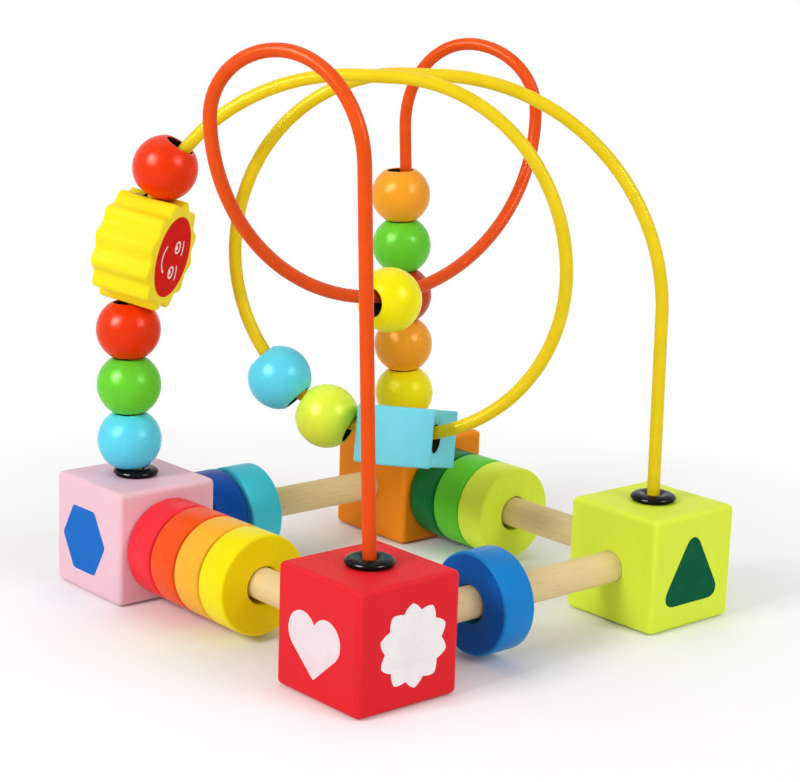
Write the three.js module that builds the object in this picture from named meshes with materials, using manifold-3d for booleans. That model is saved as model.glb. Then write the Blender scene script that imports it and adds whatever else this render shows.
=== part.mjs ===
// Wooden bead maze: four corner blocks joined by round rails, discs that slide on the rails, and two bent wires strung
// with beads. Millimetres, +Z up. The origin is on the ground in the middle of the blocks, +X runs from the red block to
// the lime block and +Y from the red block to the pink block.
import * as THREE from "three";
import { RoundedBoxGeometry } from "three/addons/geometries/RoundedBoxGeometry.js";
import { mergeVertices } from "three/addons/utils/BufferGeometryUtils.js";
import Module from "manifold-3d";

const wasm = await Module();
wasm.setup();

// Driving dimensions: base
const FOOTPRINT = 150; // outer side of the square that the blocks stand on
const BLOCK = 35.7; // side of a corner block
const BLOCK_ROUND = 1.2; // rounding of a block's edges
const RAIL_DIAMETER = 9.8;
const RAIL_SEAT = 12; // how deep a rail sits in a block
const GLUE_GAP = 0.3; // between a glued or pressed piece and its hole
const SEAT_GAP = 0.3; // between pieces that rest on each other

// Driving dimensions: discs on the rails
const DISC_DIAMETER = 30.6;
const DISC_THICKNESS = 11.7;
const DISC_EDGE = 0.8; // chamfer of a disc's rim
const DISC_PLAY = 0.85; // radial clearance of a disc on its rail
const DISC_GROUND_GAP = 1.65; // between a hanging disc and the ground
const STACK_GAP = 0.7; // between the four discs beside the pink block
const BLUE_DISC_PLACE = 20; // from the red block to the blue disc
const BACK_DISC_PLACE = 3.4; // from the pink block to the dark blue disc
const BACK_DISC_GAP = 2.2; // between the dark blue and the cyan disc

// Driving dimensions: wires and their collars
const WIRE_DIAMETER = 4;
const WIRE_SEAT = 20; // how deep a wire end sits in a block
const COLLAR_DIAMETER = 14.2;
const COLLAR_RIM = 0.9; // height of a collar's upright rim
const COLLAR_HEIGHT = 2.2;
const COLLAR_MOUTH = 1.1; // flat ring round the wire on top of a collar

// Driving dimensions: the yellow wire, an arch from pink, a loop in the middle and an arch to lime
const YELLOW_TOP = 162.7; // height of its crown
const YELLOW_SHOULDER = 69; // rise of each shoulder
const YELLOW_FLAT = 11.4; // straight stretch at the crown
const YELLOW_LEAN = 0.013; // how far it leans towards pink, per unit of height
const LOOP_RADIUS = 53;
const LOOP_CENTRE = 105.8; // height of the loop's centre
const LOOP_TURN = THREE.MathUtils.degToRad(13.9); // turn of the loop about the upright axis

// Driving dimensions: the orange wire, a lobe by the red block, a dip in the middle and a lobe by the orange block
const ORANGE_LEAN = 0.045;
const POST_TIP = 5.3; // how far each post has come inwards where its lobe starts
const LOBE_SWING = 44; // how far a lobe reaches sideways
const LOBE_REACH = 57; // how far a lobe's outermost point stays from the middle, along the red-orange diagonal
const LOBE_CROWN = 0.52; // where the crown lies between post and outermost point
const LOBE_DROP = 20; // from the crown down to the outermost point
const FRONT_RISE = 144; // height where the front lobe leaves its post
const FRONT_CROWN = 28.5; // height of the front lobe above that
const BACK_RISE = 140.5;
const BACK_CROWN = 29;
const DIP_HEIGHT = 96.3; // height of the wire's lowest point between the lobes

// Driving dimensions: beads
const BEAD_DIAMETER = 20;
const BEAD_LENGTH = 17;
const BORE_PLAY = 2.5; // radial clearance on its wire of a bead, the sun or the moon
const BEAD_GAP = 0.6; // between the wire and the side of the bore that leans on it
const POST_GAP = 0.5; // between beads stacked on the pink post
const BACK_GAP = 0.4; // between beads stacked on the back post
const BACK_FOOT_GAP = 1.6; // between the back post's collar and its lowest bead
const LOOP_BEAD_ANGLE = THREE.MathUtils.degToRad(23.45); // place of the loop's lime bead, left of the lowest point

// Driving dimensions: the sun and moon blocks
const SHAPE_EDGE = 0.8; // rounding of their edges
const SUN_DIAMETER = 34.6;
const SUN_THICKNESS = 19.4;
const SUN_GAP = 0.5; // between the sun and the bead below it
const ARCH_GAP = 0.9; // between the sun and the bead above it
const SUN_SCALLOPS = 12;
const SUN_SCALLOP_DEPTH = 2;
const SUN_FACE_TURN = THREE.MathUtils.degToRad(-13); // turn of the sun's face about the wire
const MOON_RADIUS = 17;
const MOON_HEIGHT = 17.9;
const MOON_HOLLOW_RADIUS = 27.6;
const MOON_WAIST = 24.9; // thickness of the crescent where the wire goes through
const MOON_ROLL = THREE.MathUtils.degToRad(-13); // its turn about the wire

// Colours, as painted
const COLOURS = {
  pink: 0xf4c3d3,
  red: 0xe92c38,
  lime: 0xd2e632,
  orange: 0xe17d1e,
  beech: 0xe1c396,
  disc_red: 0xfa3746,
  disc_orange_red: 0xfa551e,
  disc_amber: 0xffb43c,
  disc_yellow: 0xffeb1e,
  disc_blue: 0x1e73c3,
  disc_dark_green: 0x145a28,
  disc_green: 0x4ba528,
  disc_lime: 0xbed737,
  disc_dark_blue: 0x0f4196,
  disc_cyan: 0x3cafcd,
  bead_cyan: 0x64d2e6,
  bead_green: 0x64cd3c,
  bead_red: 0xf54b23,
  bead_lime: 0xdcf050,
  bead_yellow: 0xfaeb1e,
  bead_amber: 0xeb9b2d,
  bead_dark_red: 0xb93732,
  sun: 0xfff01e,
  moon: 0x6ecbe4,
  wire_yellow: 0xf0d228,
  wire_orange: 0xeb551e,
  collar: 0x101214,
};

// Facets
const ROUND_SIDES = 20; // sides of beads, rails and holes
const DISC_SIDES = 28;
const WIRE_STEP = 7; // length of one straight step of a wire
const WIRE_HALF_SIDES = 4; // half the sides of a wire's section
const BEAD_STEPS = 6; // steps of a bead's round side from end to end
const EDGE_STEPS = 2;
const COLLAR_STEPS = 3;
const SCALLOP_STEPS = 4; // outline points for each scallop
const MOON_STEPS = 14;
const OVERCUT = 2; // how far a cutter runs past the face it opens

// Derived sizes
const CORNER = (FOOTPRINT - BLOCK) / 2; // from the middle to a block's centre, along X and Y
const DIAGONAL = CORNER * Math.SQRT2; // the same along a diagonal
const RAIL_HEIGHT = DISC_DIAMETER / 2 + DISC_PLAY - SEAT_GAP + DISC_GROUND_GAP;
const RAIL_SPAN = FOOTPRINT - 2 * BLOCK; // free length of a rail between blocks
const BORE = WIRE_DIAMETER + 2 * BORE_PLAY;
const BEAD_FLAT = Math.sqrt((BEAD_DIAMETER / 2) ** 2 - (BEAD_LENGTH / 2) ** 2); // radius of a bead's flat end
const WIRE_FOOT = BLOCK - WIRE_SEAT; // height of a wire's end inside its block

const UP = new THREE.Vector3(0, 0, 1);
const CORNERS = {
  pink: new THREE.Vector3(-CORNER, CORNER, 0),
  red: new THREE.Vector3(-CORNER, -CORNER, 0),
  lime: new THREE.Vector3(CORNER, -CORNER, 0),
  orange: new THREE.Vector3(CORNER, CORNER, 0),
};

const maze = new THREE.Group();
maze.name = "bead_maze";

// Adds one named piece with its own finish to the maze.
function addPiece(name, geometry, colour, roughness = 0.38) {
  const material = new THREE.MeshStandardMaterial({ color: COLOURS[colour], roughness, metalness: 0 });
  const mesh = new THREE.Mesh(geometry, material);
  mesh.name = name;
  maze.add(mesh);
  return mesh;
}

// A closed geometry as a solid that can be cut.
function toSolid(geometry, matrix = new THREE.Matrix4()) {
  const loose = geometry.index ? geometry.toNonIndexed() : geometry;
  const bare = new THREE.BufferGeometry();
  bare.setAttribute("position", loose.getAttribute("position").clone());
  const merged = mergeVertices(bare.applyMatrix4(matrix), 1e-4);
  const vertProperties = merged.getAttribute("position").array;
  const triVerts = new Uint32Array(merged.index.array);
  return new wasm.Manifold(new wasm.Mesh({ numProp: 3, vertProperties, triVerts }));
}

function toGeometry(solid) {
  const { vertProperties, triVerts } = solid.getMesh();
  const geometry = new THREE.BufferGeometry();
  geometry.setAttribute("position", new THREE.BufferAttribute(vertProperties, 3));
  geometry.setIndex(new THREE.BufferAttribute(triVerts, 1));
  geometry.computeVertexNormals();
  return geometry;
}

// A round cutter of a given diameter from one point to another.
function drill(diameter, from, to) {
  const along = to.clone().sub(from);
  const cutter = new THREE.CylinderGeometry(diameter / 2, diameter / 2, along.length(), ROUND_SIDES);
  const turn = new THREE.Quaternion().setFromUnitVectors(new THREE.Vector3(0, 1, 0), along.clone().normalize());
  const middle = from.clone().addScaledVector(along, 0.5);
  return toSolid(cutter, new THREE.Matrix4().compose(middle, turn, new THREE.Vector3(1, 1, 1)));
}

// Corner blocks: each faces two neighbours and has a blind hole for a rail towards each of them, and one for a wire.
function blockGeometry(corner, neighbours) {
  const body = new RoundedBoxGeometry(BLOCK, BLOCK, BLOCK, EDGE_STEPS, BLOCK_ROUND);
  const centre = corner.clone().setZ(BLOCK / 2);
  let solid = toSolid(body, new THREE.Matrix4().makeTranslation(centre));
  for (const neighbour of neighbours) {
    const towards = neighbour.clone().sub(corner).normalize();
    const axis = corner.clone().setZ(RAIL_HEIGHT);
    const bottom = axis.clone().addScaledVector(towards, BLOCK / 2 - RAIL_SEAT - GLUE_GAP);
    const mouth = axis.clone().addScaledVector(towards, BLOCK / 2 + OVERCUT);
    solid = solid.subtract(drill(RAIL_DIAMETER + 2 * GLUE_GAP, bottom, mouth));
  }
  const wireBottom = corner.clone().setZ(WIRE_FOOT - GLUE_GAP);
  const wireMouth = corner.clone().setZ(BLOCK + OVERCUT);
  return toGeometry(solid.subtract(drill(WIRE_DIAMETER + 2 * GLUE_GAP, wireBottom, wireMouth)));
}

const NEIGHBOURS = {
  pink: ["red", "orange"],
  red: ["pink", "lime"],
  lime: ["red", "orange"],
  orange: ["lime", "pink"],
};
for (const [colour, near] of Object.entries(NEIGHBOURS)) {
  const around = near.map((name) => CORNERS[name]);
  addPiece(`block_${colour}`, blockGeometry(CORNERS[colour], around), colour);
}

// Collars: domed rings that finish the hole where a wire enters a block.
function collarGeometry() {
  const inner = WIRE_DIAMETER / 2 + GLUE_GAP;
  const outer = COLLAR_DIAMETER / 2;
  const mouth = inner + COLLAR_MOUTH;
  const points = [new THREE.Vector2(inner, 0), new THREE.Vector2(outer, 0)];
  for (let i = 0; i <= COLLAR_STEPS; i++) {
    const a = ((i / COLLAR_STEPS) * Math.PI) / 2;
    const r = mouth + (outer - mouth) * Math.cos(a);
    points.push(new THREE.Vector2(r, COLLAR_RIM + (COLLAR_HEIGHT - COLLAR_RIM) * Math.sin(a)));
  }
  points.push(new THREE.Vector2(inner, COLLAR_HEIGHT), points[0].clone());
  return new THREE.LatheGeometry(points, ROUND_SIDES).rotateX(Math.PI / 2);
}

for (const colour of Object.keys(CORNERS)) {
  const collar = addPiece(`collar_${colour}`, collarGeometry(), "collar", 0.15);
  collar.position.copy(CORNERS[colour]).setZ(BLOCK + SEAT_GAP);
}

// Rails with their discs, which hang on the rail and are stacked from its first block on.
function discGeometry() {
  const inner = RAIL_DIAMETER / 2 + DISC_PLAY;
  const outer = DISC_DIAMETER / 2;
  const half = DISC_THICKNESS / 2;
  const profile = [
    [inner, -half],
    [outer - DISC_EDGE, -half],
    [outer, -half + DISC_EDGE],
    [outer, half - DISC_EDGE],
    [outer - DISC_EDGE, half],
    [inner, half],
    [inner, -half],
  ];
  return new THREE.LatheGeometry(profile.map(([r, y]) => new THREE.Vector2(r, y)), DISC_SIDES);
}

const RAILS = [
  { from: "pink", to: "red", discs: ["red", "orange_red", "amber", "yellow"], firstGap: SEAT_GAP, gap: STACK_GAP },
  { from: "red", to: "lime", discs: ["blue"], firstGap: BLUE_DISC_PLACE, gap: SEAT_GAP },
  { from: "orange", to: "lime", discs: ["dark_green", "green", "lime"], firstGap: SEAT_GAP, gap: SEAT_GAP },
  { from: "pink", to: "orange", discs: ["dark_blue", "cyan"], firstGap: BACK_DISC_PLACE, gap: BACK_DISC_GAP },
];
for (const { from, to, discs, firstGap, gap } of RAILS) {
  const along = CORNERS[to].clone().sub(CORNERS[from]).normalize();
  const turn = new THREE.Quaternion().setFromUnitVectors(new THREE.Vector3(0, 1, 0), along);
  const length = RAIL_SPAN + 2 * RAIL_SEAT;
  const shaft = new THREE.CylinderGeometry(RAIL_DIAMETER / 2, RAIL_DIAMETER / 2, length, ROUND_SIDES);
  const rail = addPiece(`rail_${from}_${to}`, shaft, "beech", 0.6);
  rail.position.copy(CORNERS[from]).add(CORNERS[to]).multiplyScalar(0.5).setZ(RAIL_HEIGHT);
  rail.quaternion.copy(turn);
  let place = BLOCK / 2 + firstGap + DISC_THICKNESS / 2;
  for (const colour of discs) {
    const disc = addPiece(`disc_${colour}`, discGeometry(), `disc_${colour}`);
    disc.position.copy(CORNERS[from]).addScaledVector(along, place).setZ(RAIL_HEIGHT - DISC_PLAY + SEAT_GAP);
    disc.quaternion.copy(turn);
    place += DISC_THICKNESS + gap;
  }
}

// A point by its places along the pink-lime diagonal, along the red-orange diagonal and in height, on a wire that leans
// towards pink above the blocks.
function diagonalPoint(side, depth, height, lean) {
  const leaned = side - lean * Math.max(0, height - BLOCK);
  return new THREE.Vector3((leaned + depth) / Math.SQRT2, (depth - leaned) / Math.SQRT2, height);
}

// A quarter of an ellipse in an upright plane, from a point where it runs upright to one where it runs level, or back.
class QuarterBend extends THREE.Curve {
  constructor(from, to, leavesUpright, lean) {
    super();
    this.from = new THREE.Vector3(...from);
    this.to = new THREE.Vector3(...to);
    this.leavesUpright = leavesUpright;
    this.lean = lean;
  }
  getPoint(share, target = new THREE.Vector3()) {
    const angle = (share * Math.PI) / 2;
    const late = 1 - Math.cos(angle);
    const early = Math.sin(angle);
    const [across, rise] = this.leavesUpright ? [late, early] : [early, late];
    const { from, to } = this;
    const side = from.x + (to.x - from.x) * across;
    const depth = from.y + (to.y - from.y) * across;
    const height = from.z + (to.z - from.z) * rise;
    return target.copy(diagonalPoint(side, depth, height, this.lean));
  }
}

// A wire as a path of straight legs and quarter bends. A leg is [kind, from, to].
function wirePath(legs, lean) {
  const path = new THREE.CurvePath();
  for (const [kind, from, to] of legs) {
    if (kind === "straight") {
      path.add(new THREE.LineCurve3(diagonalPoint(...from, lean), diagonalPoint(...to, lean)));
    } else {
      path.add(new QuarterBend(from, to, kind === "upright first", lean));
    }
  }
  return path;
}

// The same legs turned half a turn about the upright axis and run backwards.
function turnedBack(legs) {
  const turned = ([side, depth, height]) => [-side, -depth, height];
  const reversedKind = { straight: "straight", "upright first": "level first", "level first": "upright first" };
  return legs.map(([kind, from, to]) => [reversedKind[kind], turned(to), turned(from)]).reverse();
}

function yellowHalf() {
  const loopSide = [LOOP_RADIUS * Math.cos(LOOP_TURN), -LOOP_RADIUS * Math.sin(LOOP_TURN)];
  const span = Math.hypot(loopSide[0] + DIAGONAL, loopSide[1]);
  const onArch = (reach, height) => [
    -DIAGONAL + ((loopSide[0] + DIAGONAL) * reach) / span,
    (loopSide[1] * reach) / span,
    height,
  ];
  const shoulderFoot = [-DIAGONAL, 0, YELLOW_TOP - YELLOW_SHOULDER];
  const shoulderTop = onArch(span - LOOP_RADIUS - YELLOW_FLAT, YELLOW_TOP);
  const loopTop = onArch(span - LOOP_RADIUS, YELLOW_TOP);
  const loopOuter = [...loopSide, LOOP_CENTRE];
  return [
    ["straight", [-DIAGONAL, 0, WIRE_FOOT], [-DIAGONAL, 0, BLOCK]],
    ["straight", [-DIAGONAL, 0, BLOCK], shoulderFoot],
    ["upright first", shoulderFoot, shoulderTop],
    ["straight", shoulderTop, loopTop],
    ["level first", loopTop, loopOuter],
    ["upright first", loopOuter, [0, 0, LOOP_CENTRE - LOOP_RADIUS]],
  ];
}

function orangeHalf(rise, crown) {
  const post = [0, POST_TIP - DIAGONAL];
  const outer = [-LOBE_SWING, -LOBE_REACH];
  const onLobe = (share) => post.map((place, i) => place + (outer[i] - place) * share);
  const lobeFoot = [...post, rise];
  const lobeTop = [...onLobe(LOBE_CROWN), rise + crown];
  const lobeOuter = [...outer, rise + crown - LOBE_DROP];
  return [
    ["straight", [0, -DIAGONAL, WIRE_FOOT], [0, -DIAGONAL, BLOCK]],
    ["straight", [0, -DIAGONAL, BLOCK], lobeFoot],
    ["upright first", lobeFoot, lobeTop],
    ["level first", lobeTop, lobeOuter],
    ["upright first", lobeOuter, [0, 0, DIP_HEIGHT]],
  ];
}

function wireGeometry(path) {
  const section = new THREE.Shape().absarc(0, 0, WIRE_DIAMETER / 2, 0, 2 * Math.PI);
  const steps = Math.round(path.getLength() / WIRE_STEP);
  return new THREE.ExtrudeGeometry(section, { steps, curveSegments: WIRE_HALF_SIDES, extrudePath: path });
}

const yellowPath = wirePath([...yellowHalf(), ...turnedBack(yellowHalf())], YELLOW_LEAN);
const orangeFront = wirePath(orangeHalf(FRONT_RISE, FRONT_CROWN), ORANGE_LEAN);
const orangePath = wirePath(
  [...orangeHalf(FRONT_RISE, FRONT_CROWN), ...turnedBack(orangeHalf(BACK_RISE, BACK_CROWN))],
  ORANGE_LEAN,
);
addPiece("wire_yellow", wireGeometry(yellowPath), "wire_yellow", 0.3);
addPiece("wire_orange", wireGeometry(orangePath), "wire_orange", 0.3);

// Where a bored piece sits on a wire: its bore halves the wire's bow, and it has drifted sideways until the wire is one
// gap away from the bore's wall.
function seatOnWire(path, station, length, drift) {
  const whole = path.getLength();
  const pointAt = (distance) => path.getPoint(distance / whole);
  const tail = pointAt(station - length / 2);
  const head = pointAt(station + length / 2);
  const axis = head.clone().sub(tail).normalize();
  const chord = tail.add(head).multiplyScalar(0.5);
  const halfBow = pointAt(station).sub(chord).multiplyScalar(0.5);
  const sideways = drift.clone().addScaledVector(axis, -drift.dot(axis)).normalize();
  const slack = Math.max(0, BORE_PLAY - halfBow.length() - BEAD_GAP);
  return { centre: chord.add(halfBow).addScaledVector(sideways, slack), axis };
}

// Turns and moves a piece so that its own axes lie along the given ones.
function orient(mesh, centre, xAxis, yAxis) {
  const zAxis = new THREE.Vector3().crossVectors(xAxis, yAxis);
  mesh.quaternion.setFromRotationMatrix(new THREE.Matrix4().makeBasis(xAxis, yAxis, zAxis));
  mesh.position.copy(centre);
}

// Beads: balls with flat ends and a bore, turned about their own Y axis.
function beadGeometry() {
  const ball = BEAD_DIAMETER / 2;
  const endAngle = Math.asin(BEAD_LENGTH / BEAD_DIAMETER);
  const points = [new THREE.Vector2(BORE / 2, -BEAD_LENGTH / 2)];
  for (let i = 0; i <= BEAD_STEPS; i++) {
    const a = -endAngle + (2 * endAngle * i) / BEAD_STEPS;
    points.push(new THREE.Vector2(ball * Math.cos(a), ball * Math.sin(a)));
  }
  points.push(new THREE.Vector2(BORE / 2, BEAD_LENGTH / 2), points[0].clone());
  return new THREE.LatheGeometry(points, ROUND_SIDES);
}

function addBead(name, colour, path, station, drift) {
  const { centre, axis } = seatOnWire(path, station, BEAD_LENGTH, drift);
  const bead = addPiece(name, beadGeometry(), colour);
  bead.position.copy(centre);
  bead.quaternion.setFromUnitVectors(new THREE.Vector3(0, 1, 0), axis);
}

// How far apart along a bend two neighbours' middles lie when the inner edges of their ends almost touch.
function pitchOnBend(radius, lengthA, lengthB) {
  const innerEdge = radius - BEAD_FLAT;
  const angle = Math.atan(lengthA / 2 / innerEdge) + Math.atan(lengthB / 2 / innerEdge);
  return radius * angle + SEAT_GAP;
}

const TOWARDS_PINK = new THREE.Vector3(-1, 1, 0).normalize();
const TOWARDS_LIME = new THREE.Vector3(1, -1, 0).normalize();
const DOWN = new THREE.Vector3(0, 0, -1);
const COLUMN_START = WIRE_SEAT + SEAT_GAP + COLLAR_HEIGHT + SEAT_GAP + BEAD_LENGTH / 2;

// Three beads on the pink post, then the sun and one more bead where the wire starts to bend over.
["cyan", "green", "red"].forEach((colour, i) => {
  const station = COLUMN_START + i * (BEAD_LENGTH + POST_GAP);
  addBead(`bead_post_${colour}`, `bead_${colour}`, yellowPath, station, TOWARDS_PINK);
});
const sunRim = (SUN_DIAMETER / 2) * Math.cos(Math.PI / SUN_SCALLOPS); // level of the scallops beside the bore
const sunReach = BEAD_LENGTH / 2 + sunRim;
const sunStation = COLUMN_START + 2 * (BEAD_LENGTH + POST_GAP) + SUN_GAP + sunReach;
const archStation = sunStation + sunReach + ARCH_GAP;
addBead("bead_arch_red", "bead_red", yellowPath, archStation, TOWARDS_PINK);

// Sun: a thick scalloped disc with the wire through its rim, between two scallops. Its own Z axis is the face's, its
// own Y axis the wire's.
function sunGeometry() {
  const mean = (SUN_DIAMETER - SUN_SCALLOP_DEPTH) / 2 - SHAPE_EDGE;
  const outline = new THREE.Shape();
  const points = SUN_SCALLOPS * SCALLOP_STEPS;
  for (let i = 0; i < points; i++) {
    const a = (2 * Math.PI * i) / points;
    const r = mean - (SUN_SCALLOP_DEPTH / 2) * Math.cos(SUN_SCALLOPS * a);
    if (i === 0) {
      outline.moveTo(r, 0);
    } else {
      outline.lineTo(r * Math.cos(a), r * Math.sin(a));
    }
  }
  const depth = SUN_THICKNESS - 2 * SHAPE_EDGE;
  const bevel = { bevelThickness: SHAPE_EDGE, bevelSize: SHAPE_EDGE, bevelSegments: 1 };
  const body = new THREE.ExtrudeGeometry(outline, { depth, steps: 1, curveSegments: 1, ...bevel });
  const solid = toSolid(body, new THREE.Matrix4().makeTranslation(0, 0, -depth / 2));
  const end = new THREE.Vector3(0, SUN_DIAMETER / 2 + OVERCUT, 0);
  return toGeometry(solid.subtract(drill(BORE, end.clone().negate(), end)));
}

const sunSeat = seatOnWire(yellowPath, sunStation, SUN_DIAMETER, TOWARDS_LIME);
const faceWay = TOWARDS_LIME.clone().addScaledVector(sunSeat.axis, -TOWARDS_LIME.dot(sunSeat.axis)).normalize();
faceWay.applyAxisAngle(sunSeat.axis, SUN_FACE_TURN);
const sun = addPiece("sun_block", sunGeometry(), "sun");
orient(sun, sunSeat.centre, new THREE.Vector3().crossVectors(sunSeat.axis, faceWay), sunSeat.axis);

// Two beads and the moon in the loop's lowest stretch. Stations grow towards the loop's left side.
const loopMiddle = yellowPath.getLength() / 2;
const limeStation = loopMiddle + LOOP_RADIUS * LOOP_BEAD_ANGLE;
const cyanStation = limeStation + pitchOnBend(LOOP_RADIUS, BEAD_LENGTH, BEAD_LENGTH);
const moonStation = limeStation - pitchOnBend(LOOP_RADIUS, BEAD_LENGTH, MOON_WAIST);
addBead("bead_loop_lime", "bead_lime", yellowPath, limeStation, DOWN);
addBead("bead_loop_cyan", "bead_cyan", yellowPath, cyanStation, DOWN);

// Moon: a crescent with the wire through its waist. Its own X axis is the wire's, towards the open side, its own Z axis
// the crescent's, and its origin the middle of the waist.
function moonGeometry() {
  const outer = MOON_RADIUS - SHAPE_EDGE;
  const hollow = MOON_HOLLOW_RADIUS + SHAPE_EDGE;
  const offset = MOON_WAIST - MOON_RADIUS + MOON_HOLLOW_RADIUS;
  const tipX = (outer ** 2 - hollow ** 2 + offset ** 2) / (2 * offset);
  const tipY = Math.sqrt(outer ** 2 - tipX ** 2);
  const outerTip = Math.atan2(tipY, tipX);
  const hollowTip = Math.atan2(tipY, tipX - offset);
  const centre = MOON_RADIUS - MOON_WAIST / 2;
  const outline = new THREE.Shape();
  outline.absarc(centre, 0, outer, outerTip, 2 * Math.PI - outerTip, false);
  outline.absarc(centre + offset, 0, hollow, 2 * Math.PI - hollowTip, hollowTip, true);
  const depth = MOON_HEIGHT - 2 * SHAPE_EDGE;
  const bevel = { bevelThickness: SHAPE_EDGE, bevelSize: SHAPE_EDGE, bevelSegments: 1 };
  const body = new THREE.ExtrudeGeometry(outline, { depth, steps: 1, curveSegments: MOON_STEPS, ...bevel });
  const solid = toSolid(body, new THREE.Matrix4().makeTranslation(0, 0, -depth / 2));
  const end = new THREE.Vector3(MOON_WAIST / 2 + MOON_RADIUS, 0, 0);
  return toGeometry(solid.subtract(drill(BORE, end.clone().negate(), end)));
}

const moonSeat = seatOnWire(yellowPath, moonStation, MOON_WAIST, DOWN);
const openWay = moonSeat.axis.clone().negate();
const moonUp = UP.clone().addScaledVector(openWay, -UP.dot(openWay)).normalize().applyAxisAngle(openWay, MOON_ROLL);
const moon = addPiece("moon_block", moonGeometry(), "moon");
orient(moon, moonSeat.centre, openWay, new THREE.Vector3().crossVectors(moonUp, openWay));

// One bead in the dip of the orange wire, and five on its back post, counted up from the block.
addBead("bead_dip_yellow", "bead_yellow", orangePath, orangeFront.getLength(), DOWN);
const BACK_BEADS = [
  ["yellow", "bead_yellow"],
  ["amber", "bead_amber"],
  ["dark_red", "bead_dark_red"],
  ["green", "bead_green"],
  ["orange", "bead_amber"],
];
const backStart = COLUMN_START - SEAT_GAP + BACK_FOOT_GAP;
BACK_BEADS.forEach(([name, colour], i) => {
  const station = orangePath.getLength() - backStart - i * (BEAD_LENGTH + BACK_GAP);
  addBead(`bead_back_${name}`, colour, orangePath, station, TOWARDS_PINK);
});

export default maze;
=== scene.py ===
"""Bead maze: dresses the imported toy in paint, bare wood, coated wire, black collars and prints."""
import math

import bmesh
import bpy
from bpy.props import FloatProperty, FloatVectorProperty, IntProperty, PointerProperty
from mathutils import Matrix, Vector


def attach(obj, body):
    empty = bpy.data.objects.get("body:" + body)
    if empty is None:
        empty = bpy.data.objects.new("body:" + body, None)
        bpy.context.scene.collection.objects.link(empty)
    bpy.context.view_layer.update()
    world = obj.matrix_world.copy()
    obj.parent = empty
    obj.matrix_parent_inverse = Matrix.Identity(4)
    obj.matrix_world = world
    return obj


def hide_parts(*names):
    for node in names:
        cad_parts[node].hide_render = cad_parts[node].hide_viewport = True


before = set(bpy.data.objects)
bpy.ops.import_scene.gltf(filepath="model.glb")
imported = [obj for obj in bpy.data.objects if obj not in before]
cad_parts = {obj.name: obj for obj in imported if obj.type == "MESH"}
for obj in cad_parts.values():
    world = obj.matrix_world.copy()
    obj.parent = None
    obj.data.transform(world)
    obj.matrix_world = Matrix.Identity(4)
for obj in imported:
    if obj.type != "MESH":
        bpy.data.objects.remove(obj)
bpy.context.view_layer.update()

bl_info = {
    "name": "Bead Maze",
    "version": (1, 0, 0),
    "blender": (4, 5, 0),
    "location": "View3D > Sidebar > Bead Maze",
    "description": "Builds the painted, printed and coated pieces of a wooden bead maze",
    "category": "Object",
}

# The fixed body that holds blocks, rails, wires and collars
BASE_BODY = "frame"
BLOCKS = ("pink", "red", "lime", "orange")
UP = Vector((0, 0, 1))
DOWN = Vector((0, 0, -1))
TOWARDS_PINK = Vector((-1, 1, 0)).normalized()
TOWARDS_LIME = Vector((1, -1, 0)).normalized()
FULL_TURN = 2 * math.pi
WHITE = (1, 1, 1, 1)


# Colours and sizes a user may change


def linear(hex_colour):
    """The linear colour of a screen colour written as six hex digits."""
    channels = [int(hex_colour[i : i + 2], 16) / 255 for i in (0, 2, 4)]
    return tuple(c / 12.92 if c <= 0.04045 else ((c + 0.055) / 1.055) ** 2.4 for c in channels)


def length(name, description, millimetres):
    """A size property in metres, written in millimetres."""
    size = millimetres / 1000
    return FloatProperty(name=name, description=description, default=size, unit="LENGTH", precision=5)


def angle(name, description, degrees):
    """An angle property, written in degrees."""
    return FloatProperty(name=name, description=description, default=math.radians(degrees), unit="ROTATION")


def share(name, description, value):
    """A plain number property."""
    return FloatProperty(name=name, description=description, default=value, precision=4)


def paint(name, hex_colour):
    """A colour property for one finish."""
    words = f"Colour of the {name.lower()}"
    return FloatVectorProperty(
        name=name, description=words, default=linear(hex_colour), subtype="COLOR", min=0, max=1
    )


class MazeBase(bpy.types.PropertyGroup):
    """Sizes of the blocks, rails, discs and collars."""

    footprint: length("Footprint", "Outer side of the square of blocks", 150)
    block: length("Block", "Side of a corner block", 35.7)
    block_round: length("Block rounding", "Rounding of a block's edges", 1.8)
    rail_diameter: length("Rail diameter", "Diameter of a round rail", 9.8)
    rail_height: length("Rail height", "Height of a rail's axis", 17.5)
    rail_seat: length("Rail seat", "How deep a rail sits in a block", 12)
    seat_gap: length("Seat gap", "Gap between pieces that rest on each other", 0.3)
    hole_gap: length("Hole gap", "Gap round a rail or wire in its hole", 0.12)
    disc_diameter: length("Disc diameter", "Diameter of a sliding disc", 30.6)
    disc_thickness: length("Disc thickness", "Thickness of a sliding disc", 11.7)
    disc_play: length("Disc play", "Radial clearance of a disc on its rail", 0.85)
    disc_round: length("Disc rounding", "Rounding of a disc's rim", 0.9)
    stack_gap: length("Stack gap", "Gap between the four discs beside the pink block", 0.7)
    blue_place: length("Blue disc place", "From the red block to the blue disc", 20)
    back_place: length("Back disc place", "From the pink block to the dark blue disc", 3.4)
    back_gap: length("Back disc gap", "Gap between the dark blue and the cyan disc", 2.2)
    collar_diameter: length("Collar diameter", "Diameter of a collar", 14.2)
    collar_height: length("Collar height", "Height of a collar", 2.2)


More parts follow.
